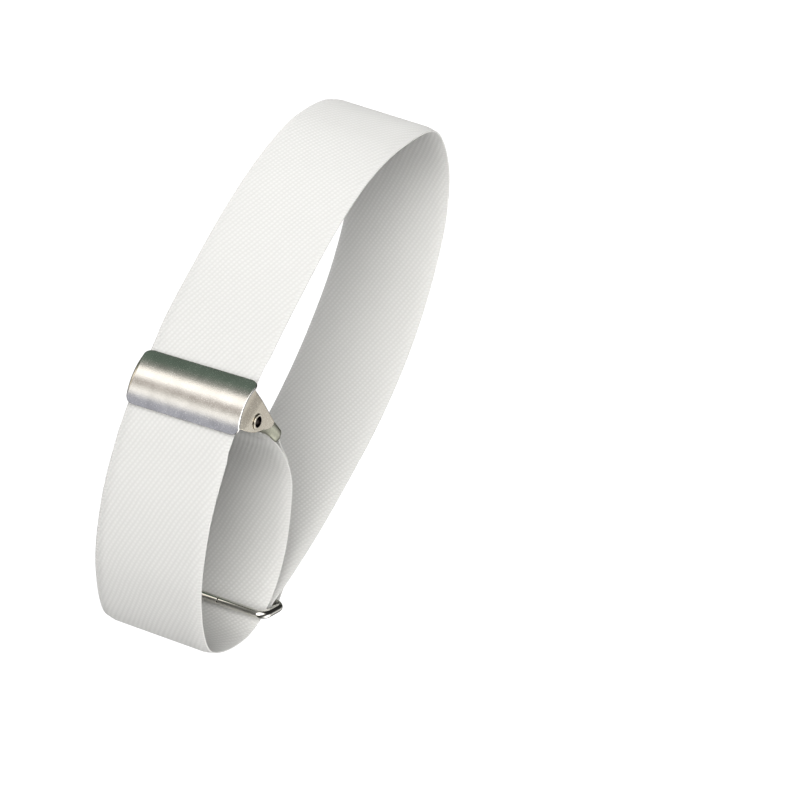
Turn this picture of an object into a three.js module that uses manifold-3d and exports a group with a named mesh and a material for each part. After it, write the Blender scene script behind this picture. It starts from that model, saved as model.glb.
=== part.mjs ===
// A shirt sleeve holder: a 25 mm elastic strap that runs once round the arm, doubled through a wire
// ring, with a nickel lever buckle that grips it. Millimetres, +Z up, lying on its side.
//
// The strap stands on edge. Everything is drawn in plan, looking down on that edge, and raised along Z.
// The last step tips the whole by about a degree, onto the three places that touch the table.
import * as THREE from "three";
import { mergeVertices } from "three/addons/utils/BufferGeometryUtils.js";
import Module from "manifold-3d";

const wasm = await Module();
wasm.setup();

// Driving dimensions
const STRAP = {
  width: 25,
  thickness: 1.2,
  sewn: 1, // thickness where an end is sewn round a bar
  taper: 6, // length over which it thins to that
  tail: { meets: 5.5, ends: 10, sunk: 0.04, lead: 1.5 }, // lengths up the strap where a sewn tail lies
  narrow: { full: -3, starts: 7, past: -14, x: 11, depth: 12 }, // Y and X where the lever's arms squeeze it
};
const RING = {
  wire: 1.8, // diameter
  inside: 26, // clear length along the strap's width
  pitch: 7.6, // between the long bars' centres
  corner: 1.9, // bend radius at the wire's centre
  bar: [42.9, 20.4], // the bar inside the small loop, in plan
  outward: 134, // degrees, from that bar to the sewn one
  joint: { height: 15.5, gap: 0.2 }, // where the wire's ends meet
};
const CLEAR = 0.25; // running clearance between pieces
const SHEET = { cover: 0.55, frame: 0.45, lever: 0.6 };
const COVER = {
  chord: 12,
  rise: 1.7,
  corner: 1.5,
  past: { above: 0.75, below: -0.1 }, // how far each end reaches past the ear's outer face
  hollow: { above: 0.75, below: 1.2 }, // how far each end is cut in at its middle
  middle: [19.5, -25.8],
  turn: 12.3,
};
const FRAME_BASE = { gap: 0.15, from: -103, to: -52 }; // from the cover, and degrees round its centre
const PIVOT = { at: [18.65, -19.35], bore: 1, shank: 1.2, flange: 1.75, flangeThick: 0.35, play: 0.15 };
const LEVER = {
  inset: 0.25, // from the ear to the arm
  web: { from: [15.8, -10.5], knee: [15.9, -19.8], edge: [18.5, -22.98] },
  tooth: { count: 11, pitch: 1.8, depth: 0.7, width: 1.2, thick: 0.46 },
  bar: { at: [15.1, -7.4], radius: 0.6 },
};
const FINE = {
  strap: 190,
  eye: 14,
  bridge: 6,
  ring: 120,
  wire: 6,
  bend: 8,
  arm: 12,
  arc: 24,
  root: 12,
  hole: 8,
  rivet: 20,
}; // steps along each curve
const INTO = 0.05; // how far joined pieces of one solid run into each other

// The strap's centre line in plan, from the ring round the arm to the lever.
const STATIONS = [
  { part: "back strand", x: 33.3, y: 25.3 },
  { part: "back strand", x: 20.2, y: 27.7 },
  { part: "back strand", x: 4.3, y: 29.1 },
  { part: "back strand", x: -11.6, y: 29.2 },
  { part: "back strand", x: -27.6, y: 26.8 },
  { part: "back strand", x: -42.7, y: 21.5 },
  { part: "arch", x: -55.8, y: 12.8 },
  { part: "arch", x: -62.9, y: 2.5 },
  { part: "arch", x: -62.7, y: -10.1 },
  { part: "arch", x: -50.7, y: -20.4 },
  { part: "front strand", x: -36.9, y: -25.6 },
  { part: "front strand", x: -21.8, y: -27.5 },
  { part: "front strand", x: -6.1, y: -27.4 },
  { part: "front strand", x: 5.9, y: -26.7 },
  { part: "in the buckle", x: 13.6, y: -25.5 },
  { part: "in the buckle", x: 24.3, y: -23.5 },
  { part: "below the buckle", x: 32, y: -20.4 },
  { part: "below the buckle", x: 42, y: -14.6 },
  { part: "bottom bend", x: 52.1, y: -4.4 },
  { part: "bottom bend", x: 57.2, y: 8 },
  { part: "bottom bend", x: 55.2, y: 13.6 },
  { part: "bottom bend", x: 48.9, y: 20.2 },
  { part: "through the ring", x: 43.8, y: 22.3 },
  { part: "through the ring", x: 39.2, y: 22.5 },
  { part: "through the ring", x: 35.6, y: 21.7 },
  { part: "inner strand", x: 29.4, y: 18.5 },
  { part: "inner strand", x: 22.1, y: 11.6 },
  { part: "inner strand", x: 17.3, y: 4.6 },
  { part: "inner strand", x: 16, y: -2 },
];

// The buckle ear's free outline in plan, from its root at the plate's lower edge round to its upper edge.
const EAR = [
  { corner: "lower edge", x: 23.12, y: -23.47 },
  { corner: "lower edge", x: 22.08, y: -20.84 },
  { corner: "lower edge", x: 21.2, y: -19.06 },
  { corner: "shoulder", x: 20.36, y: -17.64 },
  { corner: "shoulder", x: 19.2, y: -16.45 },
  { corner: "nose", x: 18.2, y: -15.4 },
  { corner: "nose", x: 17.6, y: -14.4 },
  { corner: "nose", x: 16.85, y: -13.5 },
  { corner: "nose", x: 16.05, y: -13 },
  { corner: "nose", x: 15.2, y: -12.85 },
  { corner: "upper edge", x: 14.85, y: -13.3 },
  { corner: "upper edge", x: 14.9, y: -24.4 },
];

// The lever arm's outline: round spots that a tapering bar joins.
const ARM = [
  { spot: "pivot", x: PIVOT.at[0], y: PIVOT.at[1], radius: 2 },
  { spot: "middle", x: 15.85, y: -11.8, radius: 1.6 },
  { spot: "tip", x: LEVER.bar.at[0], y: LEVER.bar.at[1], radius: 1.4 },
];

// Where the holder touches the table, before it is tipped: its lowest places on three sides of its weight.
const RESTS = [
  { on: "ring's side", x: 39.04, y: 24.09, z: -2.273 },
  { on: "lower rivet", x: 17.23, y: -20.38, z: -1.2 },
  { on: "strap's arch", x: -60.73, y: -13.85, z: 0 },
];

const AXIS = { x: new THREE.Vector3(1, 0, 0), y: new THREE.Vector3(0, 1, 0), z: new THREE.Vector3(0, 0, 1) };
const strapTop = STRAP.width;
const earIn = CLEAR; // from the strap's edge to the ear
const earOut = earIn + SHEET.frame;
const armOut = earIn - LEVER.inset; // the arm's outer face, level with the strap's edge
const armIn = armOut - SHEET.lever;
const wire = RING.wire / 2;
const white = new THREE.MeshStandardMaterial({ color: 0xf1f1ee, roughness: 0.9, metalness: 0 });
const satin = new THREE.MeshStandardMaterial({ color: 0xc4c0bd, roughness: 0.32, metalness: 1 });
const nickel = new THREE.MeshStandardMaterial({ color: 0xc9c1b2, roughness: 0.28, metalness: 1 });
const bright = new THREE.MeshStandardMaterial({ color: 0xd6d2cb, roughness: 0.12, metalness: 1 });

// A closed geometry as a solid that can be joined and cut.
function solidOf(geometry) {
  const bare = geometry.clone();
  bare.deleteAttribute("normal");
  bare.deleteAttribute("uv");
  const merged = mergeVertices(bare, 1e-4);
  const mesh = new wasm.Mesh({
    numProp: 3,
    vertProperties: new Float32Array(merged.attributes.position.array),
    triVerts: new Uint32Array(merged.index.array),
  });
  return new wasm.Manifold(mesh);
}

// That solid as a geometry again.
function geometryOf(solid) {
  const mesh = solid.getMesh();
  const geometry = new THREE.BufferGeometry();
  geometry.setAttribute("position", new THREE.BufferAttribute(mesh.vertProperties, 3));
  geometry.setIndex(new THREE.BufferAttribute(mesh.triVerts, 1));
  geometry.computeVertexNormals();
  return geometry;
}

const join = (solids) => solids.reduce((whole, next) => whole.add(next));
const plan = ({ x, y }) => new THREE.Vector2(x, y);
const pair = ([x, y]) => new THREE.Vector2(x, y);
function polar(centre, radius, degrees) {
  const angle = THREE.MathUtils.degToRad(degrees);
  return new THREE.Vector2(Math.cos(angle), Math.sin(angle)).multiplyScalar(radius).add(centre);
}

// A plan outline raised from one height to another.
function raise(shape, from, to, curveSegments = FINE.arc) {
  const geometry = new THREE.ExtrudeGeometry(shape, { depth: to - from, bevelEnabled: false, curveSegments });
  return geometry.translate(0, 0, from);
}

// That geometry moved so that its X, Y and Z point along the given directions, from the given place.
function stand(geometry, x, y, z, place) {
  return geometry.applyMatrix4(new THREE.Matrix4().makeBasis(x, y, z).setPosition(place));
}

// The outline of a strip of material laid along points, its thickness a function of the length from the
// start. With round, each end is a half circle.
function strip(points, thicknessAt, round = false) {
  const side = { left: [], right: [] };
  const fan = [-60, -30, 0, 30, 60]; // degrees either way of the heading
  const cap = (centre, heading, radius) =>
    fan.map((turn) => polar(centre, radius, THREE.MathUtils.radToDeg(heading) + turn));
  let length = 0;
  points.forEach((point, i) => {
    const before = points[Math.max(i - 1, 0)];
    const after = points[Math.min(i + 1, points.length - 1)];
    if (i) length += point.distanceTo(before);
    const along = after.clone().sub(before).normalize();
    const across = new THREE.Vector2(-along.y, along.x).multiplyScalar(thicknessAt(length) / 2);
    side.left.push(point.clone().add(across));
    side.right.push(point.clone().sub(across));
  });
  const heading = (from, to) => to.clone().sub(from).angle();
  side.left.reverse();
  if (!round) return new THREE.Shape([...side.right, ...side.left]);
  const start = cap(points[0], heading(points[1], points[0]), thicknessAt(0) / 2);
  const end = cap(points.at(-1), heading(points.at(-2), points.at(-1)), thicknessAt(length) / 2);
  return new THREE.Shape([...side.right, ...end, ...side.left, ...start]);
}

// The wire ring
const outward = pair([1, 0]).rotateAround(new THREE.Vector2(), THREE.MathUtils.degToRad(RING.outward));
const looseBar = pair(RING.bar);
const sewnBar = looseBar.clone().addScaledVector(outward, RING.pitch);

function wireRing() {
  const half = { z: RING.inside / 2 + wire, across: RING.pitch / 2 };
  const middle = looseBar.clone().add(sewnBar).multiplyScalar(0.5);
  const place = (across, z) =>
    new THREE.Vector3(middle.x + outward.x * across, middle.y + outward.y * across, strapTop / 2 + z);
  const corners = [
    { across: -1, z: 1, from: 180 },
    { across: 1, z: 1, from: 90 },
    { across: 1, z: -1, from: 0 },
    { across: -1, z: -1, from: -90 },
  ];
  const jointZ = RING.joint.height - strapTop / 2;
  const straight = half.z - RING.corner;
  const path = [place(-half.across, jointZ + RING.joint.gap / 2)];
  for (const { across, z, from } of corners) {
    for (let i = 0; i <= FINE.bend; i++) {
      const angle = THREE.MathUtils.degToRad(from - (90 * i) / FINE.bend);
      path.push(
        place(
          across * (half.across - RING.corner) + RING.corner * Math.cos(angle),
          z * straight + RING.corner * Math.sin(angle),
        ),
      );
    }
  }
  path.push(place(-half.across, jointZ - RING.joint.gap / 2));
  const curve = new THREE.CurvePath();
  for (let i = 1; i < path.length; i++) curve.add(new THREE.LineCurve3(path[i - 1], path[i]));
  const section = new THREE.Shape().absarc(0, 0, wire, 0, 2 * Math.PI);
  const options = { steps: FINE.ring, extrudePath: curve, curveSegments: FINE.wire };
  return solidOf(new THREE.ExtrudeGeometry(section, options));
}

// The strap: one long strip, with an eye sewn round the ring's outer bar and one round the lever's.
const eyeAtRing = { centre: sewnBar, radius: wire + CLEAR + STRAP.sewn / 2, leaves: 249, turn: 180 };
const eyeAtLever = {
  centre: pair(LEVER.bar.at),
  radius: LEVER.bar.radius + CLEAR + STRAP.sewn / 2,
  leaves: 0,
  turn: -180,
};
const centreLine = new THREE.CatmullRomCurve3(
  [polar(eyeAtRing.centre, eyeAtRing.radius, eyeAtRing.leaves)]
    .concat(STATIONS.map(plan), [polar(eyeAtLever.centre, eyeAtLever.radius, eyeAtLever.leaves)])
    .map((point) => new THREE.Vector3(point.x, point.y, 0)),
  false,
  "centripetal",
);
centreLine.arcLengthDivisions = 2000;
const strapLength = centreLine.getLength();

function alongStrap(length) {
  const share = THREE.MathUtils.clamp(length / strapLength, 0, 1);
  const point = centreLine.getPointAt(share);
  const along = centreLine.getTangentAt(share);
  return { point: new THREE.Vector2(point.x, point.y), left: new THREE.Vector2(-along.y, along.x) };
}

// An eye: half a turn round the bar, then back down to lie on the strap's right face.
// start is the strap's length at the eye and way is +1 or -1 along the strap away from it.
function eye({ centre, radius, leaves, turn }, start, way) {
  const { meets, ends, sunk, lead } = STRAP.tail;
  const points = [alongStrap(start + way * lead).point];
  for (let i = 0; i <= FINE.eye; i++) points.push(polar(centre, radius, leaves + (turn * i) / FINE.eye));
  const stack = (STRAP.thickness + STRAP.sewn) / 2 - sunk; // a little into the strap, so that they are one
  const lie = (length) => {
    const { point, left } = alongStrap(start + way * length);
    return point.addScaledVector(left, -stack);
  };
  const last = points.at(-1);
  const heading = last.clone().sub(points.at(-2)).normalize();
  const lands = lie(meets);
  const along = lie(meets + 1).sub(lands).normalize();
  const reach = last.distanceTo(lands) / 3;
  const bridge = new THREE.CubicBezierCurve(
    last,
    last.clone().addScaledVector(heading, reach),
    lands.clone().addScaledVector(along, -reach),
    lands,
  );
  points.push(...bridge.getPoints(FINE.bridge).slice(1));
  for (let length = meets + 1; length <= ends; length += 1) points.push(lie(length));
  return strip(points, () => STRAP.sewn);
}

// A cutter that narrows the strap at one edge to fit between the lever's arms, drawn in Y and Z.
// out is +1 at the upper edge and -1 at the lower.
function narrowing(edge, out, inset) {
  const { full, starts, past } = STRAP.narrow;
  const shape = new THREE.Shape([
    new THREE.Vector2(past, edge + out),
    new THREE.Vector2(past, edge - out * inset),
    new THREE.Vector2(full, edge - out * inset),
    new THREE.Vector2(starts, edge),
    new THREE.Vector2(starts, edge + out),
  ]);
  const slab = raise(shape, 0, STRAP.narrow.depth);
  return solidOf(stand(slab, AXIS.y, AXIS.z, AXIS.x, new THREE.Vector3(STRAP.narrow.x, 0, 0)));
}

function elasticStrap() {
  const points = [];
  for (let i = 0; i <= FINE.strap; i++) points.push(alongStrap((strapLength * i) / FINE.strap).point);
  const thicknessAt = (length) => {
    const fromEnd = Math.min(length, strapLength - length);
    return THREE.MathUtils.lerp(STRAP.sewn, STRAP.thickness, Math.min(fromEnd / STRAP.taper, 1));
  };
  const band = solidOf(raise(strip(points, thicknessAt), 0, strapTop));
  const atRing = solidOf(raise(eye(eyeAtRing, 0, 1), 0, strapTop));
  const atLever = solidOf(raise(eye(eyeAtLever, strapLength, -1), 0, strapTop));
  const inset = CLEAR - armIn;
  return join([band, atRing, atLever])
    .subtract(narrowing(strapTop, 1, inset))
    .subtract(narrowing(0, -1, inset));
}

// The buckle's cover: a shallow sheet arch with rounded corners and hollow ends.
const archRadius = (COVER.chord ** 2 / 4 + COVER.rise ** 2) / (2 * COVER.rise);
const facing = THREE.MathUtils.degToRad(COVER.turn) - Math.PI / 2;
const archCentre = polar(pair(COVER.middle), COVER.rise - archRadius, THREE.MathUtils.radToDeg(facing));

function coverPlate() {
  const spread = Math.asin(COVER.chord / 2 / archRadius);
  const arch = new THREE.Shape()
    .absarc(archCentre.x, archCentre.y, archRadius, facing - spread, facing + spread, false)
    .absarc(archCentre.x, archCentre.y, archRadius - SHEET.cover, facing + spread, facing - spread, true);
  const { corner, hollow } = COVER;
  const top = strapTop + earOut + COVER.past.above;
  const foot = -earOut - COVER.past.below;
  const sheet = solidOf(raise(arch, foot, top));

  const room = 0.01; // the punch is larger than the sheet by this
  const half = COVER.chord / 2 + room;
  const blank = new THREE.Shape();
  const quarter = Math.PI / 2;
  const round = (u, z, turns) => blank.absarc(u, z, corner, turns * quarter, (turns + 1) * quarter);
  round(half - corner, top + room - corner, 0);
  blank.quadraticCurveTo(0, top - 2 * hollow.above, corner - half, top + room);
  round(corner - half, top + room - corner, 1);
  round(corner - half, foot - room + corner, 2);
  blank.quadraticCurveTo(0, foot + 2 * hollow.below, half - corner, foot - room);
  round(half - corner, foot - room + corner, 3);
  const out = new THREE.Vector3(Math.cos(facing), Math.sin(facing), 0);
  const punch = stand(
    raise(blank, -2 * COVER.rise, 2 * COVER.rise, FINE.hole),
    new THREE.Vector3(-out.y, out.x, 0),
    AXIS.z,
    out,
    new THREE.Vector3(...COVER.middle, 0),
  );
  return sheet.intersect(solidOf(punch));
}

// The buckle's frame: a base nested inside the cover's arch, with an ear bent up at each end.
function buckleFrame() {
  const outer = archRadius - SHEET.cover - FRAME_BASE.gap;
  const arc = (radius) => {
    const step = (FRAME_BASE.to - FRAME_BASE.from) / FINE.root;
    const at = (_, i) => polar(archCentre, radius, FRAME_BASE.from + i * step);
    return Array.from({ length: FINE.root + 1 }, at);
  };
  const base = new THREE.Shape([...arc(outer), ...arc(outer - SHEET.frame).reverse()]);
  const ear = new THREE.Shape([...arc(outer), ...EAR.map(plan)]);
  ear.holes.push(new THREE.Path().absarc(...PIVOT.at, PIVOT.shank + CLEAR, 0, 2 * Math.PI));
  return join([
    solidOf(raise(base, -earIn - INTO, strapTop + earIn + INTO)),
    solidOf(raise(ear, strapTop + earIn, strapTop + earOut)),
    solidOf(raise(ear, -earOut, -earIn)),
  ]);
}

// The lever: two arms, the toothed web between them and the bar that the strap's end is sewn round.
function leverArm(from, to) {
  const middle = new THREE.SplineCurve(ARM.map(plan));
  const length = middle.getLength();
  const widths = new THREE.SplineCurve(ARM.map(({ radius }, i) => new THREE.Vector2(i, 2 * radius)));
  const points = middle.getSpacedPoints(FINE.arm);
  const widthAt = (at) => widths.getPoint(Math.min(at / length, 1)).y;
  const arm = new THREE.Shape(strip(points, widthAt, true).getPoints());
  arm.holes.push(new THREE.Path().absarc(...PIVOT.at, PIVOT.shank + CLEAR, 0, 2 * Math.PI));
  return solidOf(raise(arm, from, to));
}

function gripLever() {
  const top = strapTop + armIn;
  const web = strip([LEVER.web.from, LEVER.web.knee, LEVER.web.edge].map(pair), () => SHEET.lever);
  const bar = new THREE.Shape().absarc(...LEVER.bar.at, LEVER.bar.radius, 0, 2 * Math.PI);
  const pieces = [
    leverArm(top, strapTop + armOut),
    leverArm(-armOut, -armIn),
    solidOf(raise(web, -armIn - INTO, top + INTO)),
    solidOf(raise(bar, -armIn - INTO, top + INTO)),
  ];
  const edge = pair(LEVER.web.edge);
  const down = edge.clone().sub(pair(LEVER.web.knee)).normalize();
  const { count, pitch, depth, width, thick } = LEVER.tooth;
  const tooth = new THREE.Shape([pair([-width / 2, -INTO]), pair([width / 2, -INTO]), pair([0, depth])]);
  for (let i = 0; i < count; i++) {
    const height = strapTop / 2 + (i - (count - 1) / 2) * pitch;
    const geometry = stand(
      raise(tooth, -thick / 2, thick / 2),
      AXIS.z,
      new THREE.Vector3(down.x, down.y, 0),
      new THREE.Vector3(-down.y, down.x, 0),
      new THREE.Vector3(edge.x, edge.y, height),
    );
    pieces.push(solidOf(geometry));
  }
  return join(pieces);
}

// A hollow rivet through an ear and an arm, its axis along Z from the arm's inner face outwards.
function pivotRivet() {
  const { bore, shank, flange, flangeThick, play } = PIVOT;
  const inner = armIn - play - flangeThick;
  const outer = earOut + play;
  const profile = [
    [bore, inner],
    [flange, inner],
    [flange, inner + flangeThick],
    [shank, inner + flangeThick],
    [shank, outer],
    [flange, outer],
    [flange, outer + flangeThick],
    [bore, outer + flangeThick],
    [bore, inner],
  ].map(pair);
  return new THREE.LatheGeometry(profile, FINE.rivet).rotateX(Math.PI / 2);
}

const band = new THREE.Group();
function addPiece(name, geometry, material) {
  const mesh = new THREE.Mesh(geometry, material);
  mesh.name = name;
  band.add(mesh);
  return mesh;
}

addPiece("elastic_band", geometryOf(elasticStrap()), white);
addPiece("cover_plate", geometryOf(coverPlate()), satin);
addPiece("buckle_frame", geometryOf(buckleFrame()), nickel);
addPiece("grip_lever", geometryOf(gripLever()), bright);
addPiece("wire_ring", geometryOf(wireRing()), bright);
addPiece("rivet_upper", pivotRivet(), nickel).position.set(...PIVOT.at, strapTop);
const lowerRivet = addPiece("rivet_lower", pivotRivet(), nickel);
lowerRivet.position.set(...PIVOT.at, 0);
lowerRivet.rotation.x = Math.PI;

// The tip that makes the plane of the three rests level
const [ringRest, rivetRest, archRest] = RESTS.map(({ x, y, z }) => new THREE.Vector3(x, y, z));
const table = new THREE.Plane().setFromCoplanarPoints(ringRest, archRest, rivetRest);
if (table.normal.z < 0) table.negate();
band.quaternion.setFromUnitVectors(table.normal, AXIS.z);

// The origin under the middle of the whole, on the table
const box = new THREE.Box3().setFromObject(band, true);
const middle = box.getCenter(new THREE.Vector3());
band.position.set(-middle.x, -middle.y, -box.min.z);

const holder = new THREE.Group();
holder.add(band);

export default holder;
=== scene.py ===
# %% [markdown]
# A shirt sleeve holder is a loop of elastic that keeps a sleeve up. One long strap runs round the arm,
# doubles back through a wire ring and ends in a small nickel buckle whose teeth hold it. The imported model
# says where everything is. This lesson dresses it: woven cloth, plated sheet and polished wire. It starts
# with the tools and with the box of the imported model, which the dressed one must not outgrow.

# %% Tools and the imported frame
import math

import bmesh
import bpy
import numpy as np
from mathutils import Matrix, Vector


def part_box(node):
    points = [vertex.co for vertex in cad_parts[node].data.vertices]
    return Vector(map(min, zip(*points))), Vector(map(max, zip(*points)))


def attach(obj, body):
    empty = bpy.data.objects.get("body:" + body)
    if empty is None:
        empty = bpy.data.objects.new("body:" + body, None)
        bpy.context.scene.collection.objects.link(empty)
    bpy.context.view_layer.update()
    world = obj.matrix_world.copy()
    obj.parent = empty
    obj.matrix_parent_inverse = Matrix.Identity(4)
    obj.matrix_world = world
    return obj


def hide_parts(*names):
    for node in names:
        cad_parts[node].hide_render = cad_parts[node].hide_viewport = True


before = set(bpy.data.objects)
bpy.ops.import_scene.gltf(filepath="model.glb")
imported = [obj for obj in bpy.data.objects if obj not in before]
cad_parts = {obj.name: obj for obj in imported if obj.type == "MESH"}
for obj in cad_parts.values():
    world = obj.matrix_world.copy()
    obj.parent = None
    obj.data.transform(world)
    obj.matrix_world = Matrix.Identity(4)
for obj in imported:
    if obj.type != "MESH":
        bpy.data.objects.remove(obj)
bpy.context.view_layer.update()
print("packed nodes:", ", ".join(sorted(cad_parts)))

# %% [markdown]
# The holder is drawn in plan, standing on the strap's edge, in millimetres, and then tipped by about a
# degree onto the three places that touch the table. A turn that takes one direction to another by the
# shortest way is Rodrigues' formula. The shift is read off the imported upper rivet, whose middle is known
# in both frames.

# %% From the drawing to the table
MM = 0.001
UP = np.array([0.0, 0.0, 1.0])
RESTS = {  # where the holder touches the table, before it is tipped
    "ring's side": (39.04, 24.09, -2.273),
    "strap's arch": (-60.73, -13.85, 0.0),
    "lower rivet": (17.23, -20.38, -1.2),
}
STRAP_WIDTH = 25.0
PIVOT = np.array([18.65, -19.35])
RIVET_MIDDLE = STRAP_WIDTH + 0.05  # height of the upper rivet's middle in the drawing


def shortest_turn(start, end):
    """I + K + K K / (1 + start . end), where K crosses start x end with the vector that it is given."""
    axis = np.cross(start, end)
    cross = np.cross(np.eye(3), axis)
    return np.eye(3) + cross + cross @ cross / (1 + start @ end)


def unit(vectors):
    """Each vector divided by its length."""
    vectors = np.asarray(vectors, float)
    return vectors / np.linalg.norm(vectors, axis=-1, keepdims=True)


ring_rest, arch_rest, rivet_rest = (np.array(point) for point in RESTS.values())
table_normal = unit(np.cross(arch_rest - ring_rest, rivet_rest - ring_rest))
table_normal *= np.sign(table_normal[2])
TIP = shortest_turn(table_normal, UP)
rivet_low, rivet_high = (np.array(corner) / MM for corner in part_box("rivet_upper"))
SHIFT = (rivet_low + rivet_high) / 2 - TIP @ np.array([*PIVOT, RIVET_MIDDLE])


def place(points):
    """Points of the drawing, in millimetres, as points on the table, in metres."""
    return (np.asarray(points, float) @ TIP.T + SHIFT) * MM


print("tip in degrees:", round(math.degrees(math.acos(table_normal[2])), 2), "shift in mm:", SHIFT.round(2))

# %% [markdown]
# Every piece is a surface worked out on a grid. A grid of rows and columns becomes quads by joining each
# point to its neighbours. Where the last row or column meets the first, the grid is wrapped and the
# surface is closed there. Doubles are merged and the faces turned outwards before a piece is finished.

# %% Grids and pieces
SURFACE_MAP = "surface_mm"
SAME_PLACE = 1e-8  # points closer than this, in metres, are merged


def quads(rows, columns, wrap_rows=False, wrap_columns=True):
    """The quads of a grid of points that are numbered row by row."""
    row = np.arange(rows if wrap_rows else rows - 1)[:, None]
    column = np.arange(columns if wrap_columns else columns - 1)[None, :]
    next_row = (row + 1) % rows
    next_column = (column + 1) % columns
    corners = [(row, column), (row, next_column), (next_row, next_column), (next_row, column)]
    return np.stack([np.add(r * columns, c) for r, c in corners], -1).reshape(-1, 4)


def tube_caps(rows, columns):
    """One face that closes each end of a tube of rows rings."""
    first = np.arange(columns)
    return [first.tolist(), (first[::-1] + (rows - 1) * columns).tolist()]


def piece(name, parts, replaces, finish, uv=None):
    """A mesh object from (points, faces) parts in drawing millimetres, riding on the one body."""
    points = []
    faces = []
    count = 0
    for part_points, part_faces in parts:
        points.append(place(np.reshape(part_points, (-1, 3))))
        faces += [[corner + count for corner in face] for face in part_faces]
        count += len(points[-1])
    mesh = bpy.data.meshes.new(name)
    mesh.from_pydata(np.concatenate(points), [], faces)
    if uv is not None:
        layer = mesh.uv_layers.new(name=SURFACE_MAP)
        layer.data.foreach_set("uv", np.asarray(uv, np.float32).ravel())
    work = bmesh.new()
    work.from_mesh(mesh)
    bmesh.ops.remove_doubles(work, verts=work.verts, dist=SAME_PLACE)
    bmesh.ops.recalc_face_normals(work, faces=work.faces)
    for face in work.faces:
        face.smooth = True
    work.to_mesh(mesh)
    work.free()
    made = bpy.data.objects.new(name, mesh)
    bpy.context.scene.collection.objects.link(made)
    made.data.materials.append(finish)
    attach(made, "root")
    if replaces:
        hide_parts(*replaces)
    triangles = sum(len(face.vertices) - 2 for face in mesh.polygons)
    print(f"{name}: {triangles} triangles, {len(mesh.vertices)} points")
    return made


# %% [markdown]
# Shader maths reads best as ordinary expressions. A small class wraps one socket, and adding, multiplying
# or comparing two of them adds the Math node that does it. Any other node comes from one method, which
# takes the node's type, its settings and what its sockets hold.

# %% A socket that can be written with
MIX = {"factor": 0, "zero": 6, "one": 7, "result": 2}  # a Mix node's colour sockets, whose names repeat


class Value:
    """One output of a node. Ordinary operators on it add Math nodes to its tree."""

    def __init__(self, tree, socket):
        self.tree = tree
        self.socket = socket

    def node(self, kind, settings=None, sockets=None, output=0):
        """A new node of that kind, its settings made first, its sockets filled or linked."""
        made = self.tree.nodes.new("ShaderNode" + kind)
        for key, setting in (settings or {}).items():
            if key == "stops":
                self.stops(made.color_ramp, setting)
            else:
                setattr(made, key, setting)
        for key, content in (sockets or {}).items():
            if isinstance(content, Value):
                self.tree.links.new(content.socket, made.inputs[key])
            else:
                made.inputs[key].default_value = content
        return Value(self.tree, made.outputs[output]) if made.outputs else made

    @staticmethod
    def stops(ramp, stops):
        """Fills a colour ramp from (place, colour) pairs."""
        while len(ramp.elements) < len(stops):
            ramp.elements.new(1.0)
        for element, (position, shade) in zip(ramp.elements, stops, strict=True):
            element.position = position
            element.color = (*shade, 1.0)

    def math(self, operation, *others):
        """A Math node whose first value is this one."""
        sockets = dict(enumerate((self, *others)))
        return self.node("Math", {"operation": operation}, sockets)

    def __add__(self, other):
        return self.math("ADD", other)

    def __sub__(self, other):
        return self.math("SUBTRACT", other)

    def __mul__(self, other):
        return self.math("MULTIPLY", other)

    def __truediv__(self, other):
        return self.math("DIVIDE", other)

    def __pow__(self, other):
        return self.math("POWER", other)

    def __gt__(self, other):
        return self.math("GREATER_THAN", other)

    def __neg__(self):
        return self * -1.0

    def __rsub__(self, other):
        return -self + other

    __radd__ = __add__
    __rmul__ = __mul__

    def cosine(self):
        return self.math("COSINE")

    def size(self):
        return self.math("ABSOLUTE")

    def blend_from(self, low, high):
        """0 below low, 1 above high and a smooth step between them."""
        sockets = {"Value": self, "From Min": low, "From Max": high}
        return self.node("MapRange", {"interpolation_type": "SMOOTHSTEP"}, sockets)

    def choose(self, zero, one):
        """The colour zero where this is 0, and the colour one where it is 1."""
        sockets = {MIX["factor"]: self, MIX["zero"]: zero, MIX["one"]: one}
        return self.node("Mix", {"data_type": "RGBA"}, sockets, MIX["result"])

    def part(self, index):
        """X, Y or Z of a vector."""
        return self.node("SeparateXYZ", sockets={0: self}, output=index)


# %% [markdown]
# Three helpers serve every finish: one writes a colour as a socket holds it, one makes soft random values,
# and one starts a material and gives the means to feed its shader. All finishes use the Principled shader,
# because it makes both cloth and metal, and the exported model keeps it.

# %% Helpers for finishes


def colour(red, green, blue):
    """A linear colour as a socket holds it."""
    return (red, green, blue, 1.0)


def noise(where, scale, detail=2.0, roughness=0.5):
    """Soft random values from 0 to 1, about scale spots to each unit of where."""
    sockets = {"Vector": where, "Scale": scale, "Detail": detail, "Roughness": roughness}
    return where.node("TexNoise", sockets=sockets)


def new_finish(name, constants):
    """A material with its constants set, a value to start writing from, and what feeds its shader."""
    made = bpy.data.materials.new(name)
    made.use_nodes = True
    shader = made.node_tree.nodes["Principled BSDF"]
    for key, setting in constants.items():
        shader.inputs[key].default_value = setting
    start = Value(made.node_tree, shader.outputs[0])

    def feed(key, value):
        made.node_tree.links.new(value.socket, shader.inputs[key])

    return made, start, feed


# %% [markdown]
# The strap is woven elastic. Its face is a twill: ribs that climb across the strap at a low slope, about
# one to each millimetre of its width, broken into short floats like grains of rice. Each face shows the
# same hand of twill, so the pattern runs the other way on the inside. Along both edges a plain selvedge
# has short bars across it. Threads made one by one would take millions of faces, so the weave is a height
# worked out in the material. The strap's own map gives the length and the width in millimetres, so the
# weave follows every bend.

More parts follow.
